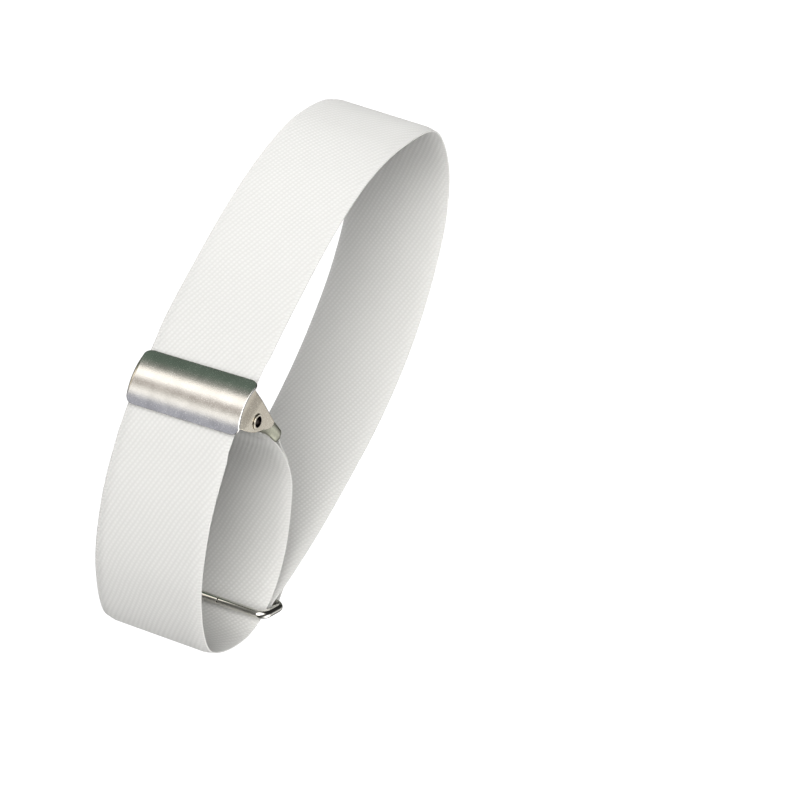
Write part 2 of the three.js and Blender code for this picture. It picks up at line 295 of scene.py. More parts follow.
# %% White twill elastic
TURN = 2 * math.pi
SIDE_STEP = 40.0  # the map's width coordinate is this much larger on the outer face
RIB = {"along": 0.45, "across": 0.95, "wander": 1.1, "sharpness": 0.8}  # ribs to each millimetre
FLOAT = {"along": 1.2, "across": -0.6, "wander": 0.6, "depth": 0.28}  # floats that break each rib
WANDER = 0.09  # how often the ribs wander, to each millimetre
SELVEDGE = {"starts": 11.4, "full": 11.9, "bars": 1.5, "slant": 2.0, "low": 0.2, "rise": 0.7}
SCALLOP = 0.02
FIBRE = {"scale": 5.5, "detail": 3.0, "roughness": 0.65}
PATCHES = {"scale": 0.22, "detail": 3.0}
FIBRE_HEIGHT = 0.35  # set against the weave's height
# The weave's share paints shade into the valleys between the ribs; fibre and patches vary the tone at random.
TONE_AND_PAINTED_SHADE = {"weave": 0.62, "fibre": 0.16, "patches": 0.1, "full": 0.85}  # what makes the cloth lighter
# The valley colour is painted shade in the weave's hollows; the crest colour is the cloth's own white.
CLOTH = {"shaded_valley": (0.6, 0.6, 0.59), "crest": (0.68, 0.68, 0.67), "rough": 0.98, "smoother": 0.14}
CLOTH_BUMP = {"Distance": 0.00008, "Strength": 0.5}


def twill_elastic():
    """Height = ribs x floats, with bars in the selvedge; the valleys are painted a little darker than the
    ribs, as shade.
    """
    constants = {"Metallic": 0.0, "Specular IOR Level": 0.2, "Sheen Weight": 0.1, "Sheen Roughness": 0.5}
    made, start, feed = new_finish("white_elastic", constants)
    mapped = start.node("UVMap", {"uv_map": SURFACE_MAP})
    outer = mapped.part(1) > SIDE_STEP / 2
    along = mapped.part(0) * (outer * 2.0 - 1.0)
    across = mapped.part(1) - outer * SIDE_STEP
    wander = noise(mapped, WANDER) - 0.5

    def phase(kind):
        return (along * kind["along"] + across * kind["across"] + wander * kind["wander"]) * TURN

    rib_phase, float_phase = phase(RIB), phase(FLOAT)
    rib = rib_phase.cosine() * 0.5 + 0.5
    broken = rib ** RIB["sharpness"] * (float_phase.cosine() * FLOAT["depth"] + (1 - FLOAT["depth"]))
    selvedge = across.size().blend_from(SELVEDGE["starts"], SELVEDGE["full"])
    bars = (along * SELVEDGE["bars"] * TURN + across * SELVEDGE["slant"]).cosine() * 0.5 + 0.5
    fibre = noise(mapped, **FIBRE)
    weave = broken * (1.0 - selvedge) + (bars * SELVEDGE["rise"] + SELVEDGE["low"]) * selvedge
    height = weave + fibre * FIBRE_HEIGHT
    patches = noise(mapped, **PATCHES)
    # Painted shade: the colour is darker where the weave is low, and fibre and patches vary it at random.
    light = weave * TONE_AND_PAINTED_SHADE["weave"] + fibre * TONE_AND_PAINTED_SHADE["fibre"] + patches * TONE_AND_PAINTED_SHADE["patches"]
    shaded_valley, crest = colour(*CLOTH["shaded_valley"]), colour(*CLOTH["crest"])
    feed("Base Color", light.blend_from(0.0, TONE_AND_PAINTED_SHADE["full"]).choose(shaded_valley, crest))
    feed("Roughness", CLOTH["rough"] - weave * CLOTH["smoother"])
    feed("Normal", height.node("Bump", sockets={"Height": height, **CLOTH_BUMP}))
    return made


# %% [markdown]
# The metal is plated steel. The cover is satin nickel, a little speckled by wear. The frame and rivets
# have a warmer plate, and the rivets' bores are painted near black, as painted shade inside the hole. The
# ring is polished, and so is the lever, whose plate is a darker olive. Speckle and wear vary the roughness
# and the colour slightly, and a very fine bump breaks up the reflections. The plating itself is the
# shader's, so one function makes every finish.

# %% Plated metal
GRAIN = {"detail": 3.0, "roughness": 0.6}
SPECKS = (0.58, 0.72)  # the grain's values where a speck starts and is full
WEAR = {"coarser": 9, "roughness": 0.06, "share": 0.6, "from_to": (0.3, 0.7)}
WARM = ((0.56, 0.51, 0.43), (0.7, 0.66, 0.57), 0.24, (2600.0, 0.1), 0.000006)
# Near black painted in the rivets' bores: painted shade inside the hole.
BORE_SHADE_BLACK = (0.03, 0.025, 0.028)
BORE = 1.12
# The last column, where given, is the radius range over which the colour turns to painted shade in the bore.
FINISHES = {  # dull and clear colour, roughness, specks to each metre and what they add to it, relief, bore
    "satin_nickel": ((0.66, 0.65, 0.63), (0.8, 0.79, 0.77), 0.2, (3600.0, 0.12), 0.000012),
    "warm_nickel": WARM,
    "rivet_nickel_bore_shade": (*WARM, (BORE, BORE + 0.12)),
    "bright_nickel": ((0.62, 0.61, 0.56), (0.78, 0.77, 0.73), 0.09, (2000.0, 0.08), 0.000002),
    "lever_nickel": ((0.36, 0.36, 0.29), (0.48, 0.49, 0.39), 0.09, (2000.0, 0.08), 0.000002),
}


def plate_finish(name, dull, clear, roughness, specks, relief, shaded_bore=None):
    """Metal whose colour goes from dull to clear, and whose specks and wear make it rougher."""
    made, start, feed = new_finish(name, {"Metallic": 1.0})
    where = start.node("TexCoord", output="Object")
    density, rougher = specks
    grain = noise(where, density, **GRAIN)
    wear = noise(where, density / WEAR["coarser"])
    mixed = wear * WEAR["share"] + grain * (1 - WEAR["share"])
    shade = mixed.blend_from(*WEAR["from_to"]).choose(colour(*dull), colour(*clear))
    # Painted shade: inside the bore's radius the colour goes near black.
    if shaded_bore:
        radius = start.node("UVMap", {"uv_map": SURFACE_MAP}).part(0)
        shade = radius.blend_from(*shaded_bore).choose(colour(*BORE_SHADE_BLACK), shade)
    feed("Base Color", shade)
    smoothest = roughness - WEAR["roughness"] / 2
    feed("Roughness", grain.blend_from(*SPECKS) * rougher + wear * WEAR["roughness"] + smoothest)
    feed("Normal", grain.node("Bump", sockets={"Height": grain, "Distance": relief, "Strength": 1.0}))
    return made


elastic = twill_elastic()
satin, warm, bore_shaded_nickel, bright, olive = (plate_finish(name, *recipe) for name, recipe in FINISHES.items())
print("finishes:", ", ".join(material.name for material in bpy.data.materials))

# %% [markdown]
# The strap stands on its edge, so its whole route is one line in plan. The line is drawn through measured
# stations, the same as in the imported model. It passes round three upright bars: the ring's outer bar, where
# its first end is sewn, the ring's inner bar, where it slides, and the lever's end bar, where its second
# end is sewn.

# %% Stations and bars
STATIONS = [  # plan x, y
    ("back strand", [(33.3, 25.3), (20.2, 27.7), (4.3, 29.1), (-11.6, 29.2), (-27.6, 26.8), (-42.7, 21.5)]),
    ("arch", [(-55.8, 12.8), (-62.9, 2.5), (-62.7, -10.1), (-50.7, -20.4)]),
    ("front strand", [(-36.9, -25.6), (-21.8, -27.5), (-6.1, -27.4), (5.9, -26.7)]),
    ("in the buckle", [(13.6, -25.5), (24.3, -23.5)]),
    ("below the buckle", [(32, -20.4), (42, -14.6)]),
    ("bottom bend", [(52.1, -4.4), (57.2, 8), (55.2, 13.6), (48.9, 20.2)]),
    ("through the ring", [(43.8, 22.3), (39.2, 22.5), (35.6, 21.7)]),
    ("inner strand", [(29.4, 18.5), (22.1, 11.6), (17.3, 4.6), (16, -2)]),
]
THICK = {"strap": 1.1, "sewn": 1.0, "taper": 6.0}
WIRE = 0.9  # radius
PLAY = 0.25
RING = {"half_across": 3.8, "half_height": 13.9, "corner": 1.9, "joint": 15.5, "gap": 0.16, "chamfer": 0.16}
LOOSE_BAR = np.array([42.9, 20.4])
OUTWARD = math.radians(134)
OUT = np.array([math.cos(OUTWARD), math.sin(OUTWARD)])
SEWN_BAR = LOOSE_BAR + 2 * RING["half_across"] * OUT
LEVER_BAR = np.array([15.1, -7.4])
BAR_RADIUS = 0.6
print("the bar that the strap's first end is sewn round, in plan:", SEWN_BAR.round(2))

# %% [markdown]
# A line through stations could be straight from one to the next, but a strap bends smoothly. Between two
# stations the curve is a cubic whose end slopes allow for uneven spacing (a centripetal Catmull-Rom
# curve), so it doesn't swing out where stations lie close together. All its stretches are worked out at
# once.

# %% Lines in plan


def polar(centre, radius, degrees):
    """Points at that distance and those angles round a centre."""
    angle = np.radians(degrees)
    return centre + radius * np.stack([np.cos(angle), np.sin(angle)], -1)


STRETCH_STEPS = 60


def smooth_curve(points, samples=STRETCH_STEPS):
    """A centripetal Catmull-Rom curve: each stretch is the cubic whose slopes its neighbours give."""
    points = np.asarray(points, float)
    p = np.concatenate([[2 * points[0] - points[1]], points, [2 * points[-1] - points[-2]]])
    step = np.sqrt(np.linalg.norm(np.diff(p, axis=0), axis=1))[:, None]
    before, here, after = step[:-2], step[1:-1], step[2:]
    chord = np.diff(p, axis=0)
    chord_before, chord_here, chord_after = chord[:-2], chord[1:-1], chord[2:]
    across_before = (chord_before + chord_here) / (before + here)
    across_after = (chord_here + chord_after) / (here + after)
    slope_0 = here * (chord_before / before - across_before + chord_here / here)
    slope_1 = here * (chord_here / here - across_after + chord_after / after)
    t = np.linspace(0, 1, samples, endpoint=False)[None, :, None]
    start = p[1:-2][:, None]
    run = chord_here[:, None]
    slope_0, slope_1 = slope_0[:, None], slope_1[:, None]
    square = 3 * run - 2 * slope_0 - slope_1
    cube = slope_0 + slope_1 - 2 * run
    curve = start + slope_0 * t + square * t**2 + cube * t**3
    return np.concatenate([curve.reshape(-1, 2), points[-1:]])


def lengths(points):
    """The length along a line of points, from its start to each."""
    steps = np.linalg.norm(np.diff(points, axis=0), axis=1)
    return np.concatenate([[0.0], np.cumsum(steps)])


def at_length(points, where):
    """The points at the given lengths along a line of points."""
    along = lengths(points)
    return np.stack([np.interp(where, along, points[:, i]) for i in range(points.shape[1])], -1)


def left_of(points):
    """The unit direction to the left of a plan line at each of its points."""
    slope = unit(np.gradient(points, axis=0))
    return np.stack([-slope[:, 1], slope[:, 0]], -1)


# %% [markdown]
# Both ends of the strap are sewn into a loop round a bar. The loop's place on its circle, where the strap
# leaves it, goes before the first station and after the last, and then the route is complete.

# %% The strap's route
GUIDE_STEPS = 3000


def eye_round(centre, bar, leaves, turn):
    """A loop round a bar of that radius, off it by the play and half the cloth."""
    return {"centre": centre, "radius": bar + PLAY + THICK["sewn"] / 2, "leaves": leaves, "turn": turn}


RING_EYE = eye_round(SEWN_BAR, WIRE, 249.0, 180.0)
LEVER_EYE = eye_round(LEVER_BAR, BAR_RADIUS, 0.0, -180.0)
ends = [polar(e["centre"], e["radius"], e["leaves"])[None] for e in (RING_EYE, LEVER_EYE)]
stations = np.concatenate([np.array(places, float) for _, places in STATIONS])
route = smooth_curve(np.concatenate([ends[0], stations, ends[1]]))
ROUTE_LENGTH = lengths(route)[-1]
fine = at_length(route, np.linspace(0, ROUTE_LENGTH, GUIDE_STEPS))
GUIDE = np.concatenate([fine, left_of(fine)], 1)  # each place on the route, and the direction to its left
print("strap between its eyes, in mm:", round(ROUTE_LENGTH, 1))

# %% [markdown]
# Each end goes round a bar and is sewn back onto the strap. The tail lies on the strap's face and a short
# cubic (a Bezier curve) leads from the half turn down to it. Tail, turn, strap, turn and tail are one
# line, so the cloth is one sheet, as it is on the real one.

# %% The sewn ends
TAIL = {"meets": 5.5, "ends": 10.0, "sunk": 0.02, "narrower": 0.75}
TAIL_SIDE = -1  # both tails lie on the strap's right face
TURN_STEPS = 40
BRIDGE_STEPS = 16
LIE_STEPS = 12


def sewn_end(eye, from_end):
    """The line from the eye's first point round the bar and down onto the strap's face, as plan points."""
    turn = polar(eye["centre"], eye["radius"], eye["leaves"] + np.linspace(0, eye["turn"], TURN_STEPS))
    stack = (THICK["strap"] + THICK["sewn"]) / 2 - TAIL["sunk"]
    lie_at = np.linspace(TAIL["meets"], TAIL["ends"], LIE_STEPS)
    side = at_length(GUIDE, lie_at if from_end == "start" else ROUTE_LENGTH - lie_at)
    lie = side[:, :2] + side[:, 2:] * TAIL_SIDE * stack
    leaving = unit(turn[-1] - turn[-2])
    landing = unit(lie[1] - lie[0])
    reach = np.linalg.norm(lie[0] - turn[-1]) / 3
    controls = [turn[-1], turn[-1] + leaving * reach, lie[0] - landing * reach, lie[0]]
    t = np.linspace(0, 1, BRIDGE_STEPS)[:, None]
    weights = [(1 - t) ** 3, 3 * t * (1 - t) ** 2, 3 * t**2 * (1 - t), t**3]
    bridge = sum(weight * control for weight, control in zip(weights, controls, strict=True))
    return np.concatenate([turn[1:], bridge[1:], lie[1:]])


ring_end = sewn_end(RING_EYE, "start")
lever_end = sewn_end(LEVER_EYE, "end")
whole_line = np.concatenate([ring_end[::-1], route, lever_end])
RING_END_LENGTH = lengths(np.concatenate([ring_end[::-1], route[:1]]))[-1]
STRAP_LENGTH = lengths(whole_line)[-1]
print("strap from cut end to cut end, in mm:", round(STRAP_LENGTH, 1))

# %% [markdown]
# The strap's surface is a section carried along that line. Elastic like this thins out towards its two
# woven edges, so the section tapers over the last two millimetres and ends in a small rounding. It is
# thinner where it is sewn, it draws in a little between the lever's arms, and the selvedge's bars scallop
# its edges.

# %% The strap's width, thickness and lean
EDGE = {"round": 0.16, "taper": 2.2, "thin": 0.3}  # reach of the rounding and the taper, and what it leaves
INSIDE_WIDTH = 0.03  # how much narrower each half is drawn
SQUEEZE = {"inset": 0.85, "full": -3.0, "starts": 7.0, "past": -14.0, "left": 11.0, "right": 23.0}
LEAN = [-0.03, -0.09, -0.1, -0.28, -0.24, 0.25, 0.54, 0.92, 0.78, 0.97, 0.38, 0.26, 0.32, 0.36, 0.2, 0.0]
WIDER = {"top": 0.3, "bottom": 0.1}  # how far the woven edges stand proud, but for the buckle
BUCKLE = {"left": 8.0, "right": 30.0, "ease": 2.0, "below": -20}


def strap_half_width(line, along):
    """Half the width: squeezed between the lever's arms, scalloped, and drawn in where it is sewn."""
    x, y = line.T
    near = (x > SQUEEZE["left"]) & (x < SQUEEZE["right"]) & (y > SQUEEZE["past"])
    drawn = np.clip((SQUEEZE["starts"] - y) / (SQUEEZE["starts"] - SQUEEZE["full"]), 0, 1)
    scallop = SCALLOP * np.cos(TURN * SELVEDGE["bars"] * along)
    past_bar = np.maximum(RING_END_LENGTH - along, along - RING_END_LENGTH - ROUTE_LENGTH) - BAR_RADIUS
    past_bar = np.clip(past_bar / TAIL["meets"] * 2, 0, 1)
    inset = SQUEEZE["inset"] * drawn * near + TAIL["narrower"] * past_bar
    return STRAP_WIDTH / 2 - INSIDE_WIDTH + scallop - inset


def strap_thickness(along):
    """Thinner at the sewn ends, and tapering up from them."""
    inside = along - RING_END_LENGTH
    from_eye = np.clip(np.minimum(inside, ROUTE_LENGTH - inside) / THICK["taper"], 0, 1)
    return THICK["sewn"] + (THICK["strap"] - THICK["sewn"]) * from_eye


def strap_lean(along):
    """How far the upper edge stands to the left of the middle line, smoothly from station to station."""
    station_at = RING_END_LENGTH + lengths(route)[STRETCH_STEPS::STRETCH_STEPS][: len(LEAN)]
    curve = smooth_curve(np.stack([station_at, LEAN], -1), samples=12)
    return np.interp(along, *curve.T)


# %% [markdown]
# The strap is a grid: its rows run along it and its columns go once round its section, up the left face and
# back down the right one. Its map could be unwrapped by Blender, but that cuts it into islands, so it is
# written with the grid, as length and width in millimetres. The outer face is moved aside by a fixed step,
# by which the cloth's finish tells the two faces apart.

# %% The strap
COLUMNS = 26
ROW_SPACING = 0.35


def strap_surface():
    """Points (row, column) and their map: rows run along the strap and columns once round its section."""
    rows = int(STRAP_LENGTH / ROW_SPACING)
    along = np.linspace(0, STRAP_LENGTH, rows)
    line = at_length(whole_line, along)
    side = left_of(line)
    across = np.sin(np.linspace(-1, 1, COLUMNS + 1) * math.pi / 2)
    half_width = strap_half_width(line, along)[:, None]
    from_edge = half_width * (1 - np.abs(across))
    body = np.clip(from_edge / EDGE["taper"], 0, 1)
    body = EDGE["thin"] + (1 - EDGE["thin"]) * body**2 * (3 - 2 * body)
    rim = np.sqrt(1 - (1 - np.clip(from_edge / EDGE["round"], 0, 1)) ** 2)
    half_thick = strap_thickness(along)[:, None] / 2 * body * rim
    x, y = line.T
    into_buckle = np.minimum(x - BUCKLE["left"], BUCKLE["right"] - x) / BUCKLE["ease"]
    free = 1 - np.clip(into_buckle, 0, 1) * (y < BUCKLE["below"])
    extra = np.where(across > 0, WIDER["top"], WIDER["bottom"])
    height = STRAP_WIDTH / 2 + (half_width + extra * free[:, None]) * across
    lean = strap_lean(along)[:, None] * across
    # The left face runs up the strap's width and the right face comes back down.
    faces = []
    for sign, order in ((1, slice(0, -1)), (-1, slice(None, 0, -1))):
        offset = (sign * half_thick[:, order, None] + lean[:, order, None]) * side[:, None]
        flat = line[:, None] + offset
        faces.append(np.concatenate([flat, height[:, order, None]], -1))
    points = np.concatenate(faces, 1)
    width_map = STRAP_WIDTH / 2 * np.concatenate([across, across[-2::-1]])
    return points, along, width_map


def strap_corner_map(along, width_map):
    """The map (length, width) of each quad's four corners, row by row, and then of the two cut ends."""
    outer_face = (np.arange(len(width_map) - 1) >= COLUMNS) * SIDE_STEP
    u = np.stack([along[:-1], along[:-1], along[1:], along[1:]], -1)[:, None]
    v = np.stack([width_map[:-1], width_map[1:], width_map[1:], width_map[:-1]], -1) + outer_face[:, None]
    shape = (len(along) - 1, len(width_map) - 1, 4)
    sides = np.stack([np.broadcast_to(u, shape), np.broadcast_to(v[None], shape)], -1).reshape(-1, 2)
    cap = np.stack([0 * width_map[:-1], width_map[:-1]], -1)
    return np.concatenate([sides, cap, cap])


strap_points, strap_along, width_map = strap_surface()
rows, columns = strap_points.shape[:2]
strap_faces = quads(rows, columns).tolist() + tube_caps(rows, columns)
strap_map = strap_corner_map(strap_along, width_map)
strap_parts = [(strap_points, strap_faces)]
strap = piece("woven_strap", strap_parts, ["elastic_band"], elastic, strap_map)

# %% [markdown]
# Sheet metal is never sharp: the press leaves a small rounding all round its edge. One function makes
# every flat piece of this buckle. Its rows run along the piece and its columns go out over one face and
# back under the other, and the thickness falls off towards the rim like a quarter circle, so the plate
# closes by itself. What the plate is bent into is left to a function that lays (along, across, height)
# where they belong.

# %% One form for all sheet pieces


def eased(count, start, end):
    """Values from start to end that lie closer together near both, as a cosine does."""
    return (start + end) / 2 - (end - start) / 2 * np.cos(np.linspace(0, math.pi, count))


def sheet_form(length, half_width, thick, edge, lay, rows=40, across=15):
    """Closed plate: half its thickness = thick / 2 x rim(way to the ends) x rim(way to the sides)."""

    def rim(distance):
        return np.sqrt(1 - (1 - np.clip(distance / edge, 0, 1)) ** 2)

    along = eased(rows, 0, length)[:, None]
    side = np.sin(np.linspace(-1, 1, across) * math.pi / 2)
    side = np.concatenate([side[:-1], side[:0:-1]])[None]
    top = np.repeat([1.0, -1.0], across - 1)[None]
    width = np.broadcast_to(half_width(along), along.shape)
    half = thick / 2 * rim(np.minimum(along, length - along)) * rim(width * (1 - np.abs(side)))
    points = lay(along + 0 * side, width * side, top * half)
    return points, quads(rows, 2 * across - 2).tolist()


def rounded(corners, reach, steps=6, closed=True):
    """A line of straight runs whose corners are short curves (quadratic Beziers) that start reach away."""
    corners = np.asarray(corners, float)
    before, after = np.roll(corners, 1, axis=0), np.roll(corners, -1, axis=0)
    into = corners + unit(before - corners) * reach
    out = corners + unit(after - corners) * reach
    t = np.linspace(0, 1, steps)[None, :, None]
    curve = into[:, None] * (1 - t) ** 2 + 2 * corners[:, None] * t * (1 - t) + out[:, None] * t**2
    if not closed:
        curve[0], curve[-1] = corners[0], corners[-1]
    return curve.reshape(-1, corners.shape[1])


def flat_lay(line, middle_height):
    """Lays a plate flat on the plan: along the line, across to its left, its height round middle_height."""

    def lay(along, across, height):
        centre = at_length(np.concatenate([line, left_of(line)], 1), along.ravel())
        plan = centre[:, :2] + centre[:, 2:] * across.ravel()[:, None]
        return np.concatenate([plan, middle_height + height.reshape(-1, 1)], -1)

    return lay


def upright_lay(line, middle_height):
    """Lays a plate standing on edge: along the line in plan, its width upright round middle_height."""

    def lay(along, across, height):
        centre = at_length(np.concatenate([line, left_of(line)], 1), along.ravel())
        plan = centre[:, :2] + centre[:, 2:] * height.ravel()[:, None]
        return np.concatenate([plan, middle_height + across.reshape(-1, 1)], -1)

    return lay


# %% [markdown]
# The cover is the part that shows: a shallow arch of satin nickel over the strap, a little longer than
# the strap is wide, with rounded corners. Its rows run across the strap. Near each end a row is shorter
# by what a quarter circle leaves of the corner, and the columns are bent round an arc. Both ends are cut a
# little hollow, which moves the rows near them.

# %% The cover plate
COVER = {"chord": 12.0, "rise": 1.7, "corner": 2.3, "sheet": 0.55, "edge": 0.3}
COVER_AT = {"middle": np.array([19.5, -25.8]), "facing": -77.7}
COVER_ENDS = {"foot": -0.4, "top": 26.7}  # heights
HOLLOW = {"foot": 1.0, "top": 0.6, "power": 8}  # how deep each end is cut, and how fast that fades inwards
EAR_GAP = 0.25
FRAME_SHEET = 0.45
ARCH_RADIUS = (COVER["chord"] ** 2 / 4 + COVER["rise"] ** 2) / (2 * COVER["rise"])
ARCH_CENTRE = polar(COVER_AT["middle"], COVER["rise"] - ARCH_RADIUS, COVER_AT["facing"])


def cover_plate():
    """Arc of radius (c c / 4 + r r) / 2 r for a chord c and a rise r, carried up the strap's width."""
    facing = math.radians(COVER_AT["facing"])
    corner = COVER["corner"]
    reach = ARCH_RADIUS * math.asin(COVER["chord"] / 2 / ARCH_RADIUS)
    foot, top = COVER_ENDS["foot"], COVER_ENDS["top"]

    def half_width(along):
        from_end = np.clip(np.minimum(along, top - foot - along) / corner, 0, 1)
        return reach - corner * (1 - np.sqrt(1 - (1 - from_end) ** 2))

    def lay(along, across, height):
        angle = facing + across / ARCH_RADIUS
        distance = ARCH_RADIUS - COVER["sheet"] / 2 + height
        plan = [ARCH_CENTRE[0] + distance * np.cos(angle), ARCH_CENTRE[1] + distance * np.sin(angle)]
        share = 2 * along / (top - foot) - 1
        hollow = np.where(share > 0, -HOLLOW["top"], HOLLOW["foot"])
        cut = hollow * share ** HOLLOW["power"] * (1 - (across / reach) ** 2)
        return np.stack([*plan, foot + along + cut], -1)

    return sheet_form(top - foot, half_width, COVER["sheet"], COVER["edge"], lay, rows=90, across=41)


piece("arched_cover", [cover_plate()], ["cover_plate"], satin)

# %% [markdown]
# The frame nests inside the cover's arch: a curved base in front of the strap, with an ear bent up at
# each end to carry the lever. An ear is a plate with a hole, so its grid goes round the hole: each ray
# runs from the hole's edge out to the outline, over one face and back under the other. Its root curves
# down into the base, and a soft crease, where the press stopped bending it, crosses it from its root to
# its free edge.

# %% The frame and its ears
EAR = [  # the free edge, from the root at the cover's lower edge round to its upper edge
    *[(23.12, -23.47), (22.08, -20.84), (21.2, -19.06), (20.36, -17.64), (19.2, -16.45), (18.2, -15.4)],
    *[(17.6, -14.4), (16.85, -13.5), (16.05, -13.0), (15.2, -12.85), (14.85, -13.3), (14.9, -24.4)],
]
EAR_HOLE = 1.45
EAR_CORNER = 0.3
FRAME_EDGE = 0.22  # reach of the rounding
COVER_PLAY = 0.15  # between the cover and the base inside it
BASE = {"outer": ARCH_RADIUS - COVER["sheet"] - COVER_PLAY, "from": -103.0, "to": -52.0, "into_ears": 0.3}
ARC_POINTS = {"root": 13, "base": 25}
ROOT_BEND = 0.55
CREASE = {"from": np.array([14.6, -21.5]), "to": np.array([21.8, -22.2]), "drop": 0.3, "wide": 3}


def ear_plate(level, outwards, rays=200, steps=14):
    """Rays round the hole: point = hole edge + t x (outline - hole edge), bent down near the root."""
    root_arc = np.linspace(BASE["from"], BASE["to"], ARC_POINTS["root"])
    root = polar(ARCH_CENTRE, BASE["outer"], root_arc)
    outline = rounded(np.concatenate([root, EAR]), EAR_CORNER, steps=4)
    outline = np.concatenate([outline, outline[:1]])
    outline = at_length(outline, np.linspace(0, lengths(outline)[-1], rays, endpoint=False))
    angle = np.arctan2(*(outline - PIVOT).T[::-1])
    reach = np.linalg.norm(outline - PIVOT, axis=1)[:, None]
    t = eased(steps, 0, 1)
    t = np.concatenate([t[:-1], t[:0:-1]])[None]
    distance = EAR_HOLE + (reach - EAR_HOLE) * t
    plan = PIVOT + distance[..., None] * np.stack([np.cos(angle), np.sin(angle)], -1)[:, None]
    from_rim = np.minimum(distance - EAR_HOLE, reach - distance)
    half = FRAME_SHEET / 2 * np.sqrt(1 - (1 - np.clip(from_rim / FRAME_EDGE, 0, 1)) ** 2)
    face = np.repeat([1.0, -1.0], steps - 1)[None]
    from_root = np.clip((BASE["outer"] - np.linalg.norm(plan - ARCH_CENTRE, axis=-1)) / ROOT_BEND, 0, 1)
    bend = ROOT_BEND * (1 - np.sqrt(1 - (1 - from_root) ** 2))
    across = CREASE["to"] - CREASE["from"]
    from_crease = (plan - CREASE["from"]) @ unit(np.array([-across[1], across[0]]))
    slope = CREASE["drop"] * np.clip(-from_crease / CREASE["wide"], 0, 1)
    height = level + outwards * (face * half - bend - slope)
    faces = quads(rays, 2 * steps - 2, wrap_rows=True).tolist()
    return np.concatenate([plan, height[..., None]], -1), faces


def frame_base():
    """A plate bent to the cover's arc, between the two ears."""
    half_width = STRAP_WIDTH / 2 + EAR_GAP + FRAME_SHEET - BASE["into_ears"]
    arc = np.linspace(BASE["from"], BASE["to"], ARC_POINTS["base"])
    line = polar(ARCH_CENTRE, BASE["outer"] - FRAME_SHEET / 2, arc)
    lay = upright_lay(line, STRAP_WIDTH / 2)
    return sheet_form(lengths(line)[-1], lambda along: half_width, FRAME_SHEET, FRAME_EDGE, lay, rows=30)


ear_level = EAR_GAP + FRAME_SHEET / 2
frame_parts = [frame_base(), ear_plate(STRAP_WIDTH + ear_level, 1), ear_plate(-ear_level, -1)]
piece("frame_with_ears", frame_parts, ["buckle_frame"], warm)

# %% [markdown]
# The lever turns between the ears. Each arm is a tapering bar with round ends and a domed face, so it
# shines along its middle and goes dark towards its edges. A bent web is meant to join the arms, but its
# points come out as no numbers and it doesn't show; a row of teeth stands where they bite the strap. All
# of these are sheet, so the one form makes them.

# %% The lever's arms, web and teeth
ARM_LINE = [(18.65, -19.35), (17.2, -15.6), (15.85, -11.8), (15.1, -7.4)]
ARM = {"pivot_end": 2.0, "tip": 1.4, "thick": 1.2, "proud": 0.15}
END_WIDTH = 1e-4  # what is left of an arm's width at its ends
LEVER_SHEET = 0.6
WEB = [(15.8, -10.5), (15.9, -19.8), (18.5, -22.98)]
WEB_BEND = {"reach": 1.2, "steps": 7, "edge": 0.3, "into_arms": 0.1}
TOOTH = {"count": 11, "pitch": 1.8, "depth": 0.7, "half_width": 0.6, "thick": 0.46}
TOOTH_SHAPE = {"rooted": 0.3, "point": 0.06, "edge": 0.14, "steps": 6}


def lever_arm(level):
    """Half width = the radius, shorter near both ends by what a circle leaves."""
    line = smooth_curve(ARM_LINE, samples=12)
    heading = unit(np.diff(line, axis=0)[[0, -1]])
    start, end = line[0] - heading[0] * ARM["pivot_end"], line[-1] + heading[1] * ARM["tip"]
    line = np.concatenate([[start], line, [end]])
    length = lengths(line)[-1]

    def half_width(along):
        radius = ARM["pivot_end"] + (ARM["tip"] - ARM["pivot_end"]) * along / length
        from_end = np.clip(np.minimum(along, length - along) / radius, 0, 1)
        return radius * np.sqrt(1 - (1 - from_end) ** 2) + END_WIDTH

    lay = flat_lay(line, level)
    return sheet_form(length, half_width, ARM["thick"], ARM["pivot_end"], lay, rows=60, across=31)


def lever_web():
    """The bent plate that should join the arms, standing across the strap.

    A known fault, not mended: rounded repeats the line's two end points, so the direction there is 0 / 0,
    the plate's points come out as no numbers, and the plate doesn't show.
    """
    line = rounded(WEB, WEB_BEND["reach"], WEB_BEND["steps"], closed=False)
    reach = STRAP_WIDTH / 2 - LEVER_SHEET + WEB_BEND["into_arms"]
    lay = upright_lay(line, STRAP_WIDTH / 2)
    return sheet_form(lengths(line)[-1], lambda along: reach, LEVER_SHEET, WEB_BEND["edge"], lay, across=21)


def tooth(index):
    """A small plate that narrows to a point, in line with the web's lower edge."""
    knee, edge = np.array(WEB[1]), np.array(WEB[2])
    rooted = TOOTH_SHAPE["rooted"]
    line = edge + unit(edge - knee) * np.linspace(-rooted, TOOTH["depth"], TOOTH_SHAPE["steps"])[:, None]
    level = STRAP_WIDTH / 2 + (index - (TOOTH["count"] - 1) / 2) * TOOTH["pitch"]
    length = TOOTH["depth"] + rooted

    def half_width(along):
        tapered = TOOTH_SHAPE["point"] + TOOTH["half_width"] * (length - along) / TOOTH["depth"]
        return np.minimum(TOOTH["half_width"], tapered)

    lay = upright_lay(line, level)
    return sheet_form(length, half_width, TOOTH["thick"], TOOTH_SHAPE["edge"], lay, rows=10, across=7)


# %% [markdown]
# A bar at the lever's far end holds the strap's sewn loop. It is a rod, so it is a tube: circles carried
# along a path, drawn in a little at both ends and closed there by one face each. A cylinder from Blender's
# own tools would do for the bar, but the ring and the stitches are bent, and this serves them too.

# %% The lever's bar, and the whole lever
END_CHAMFER = 0.35  # share of a tube's radius that its end loses


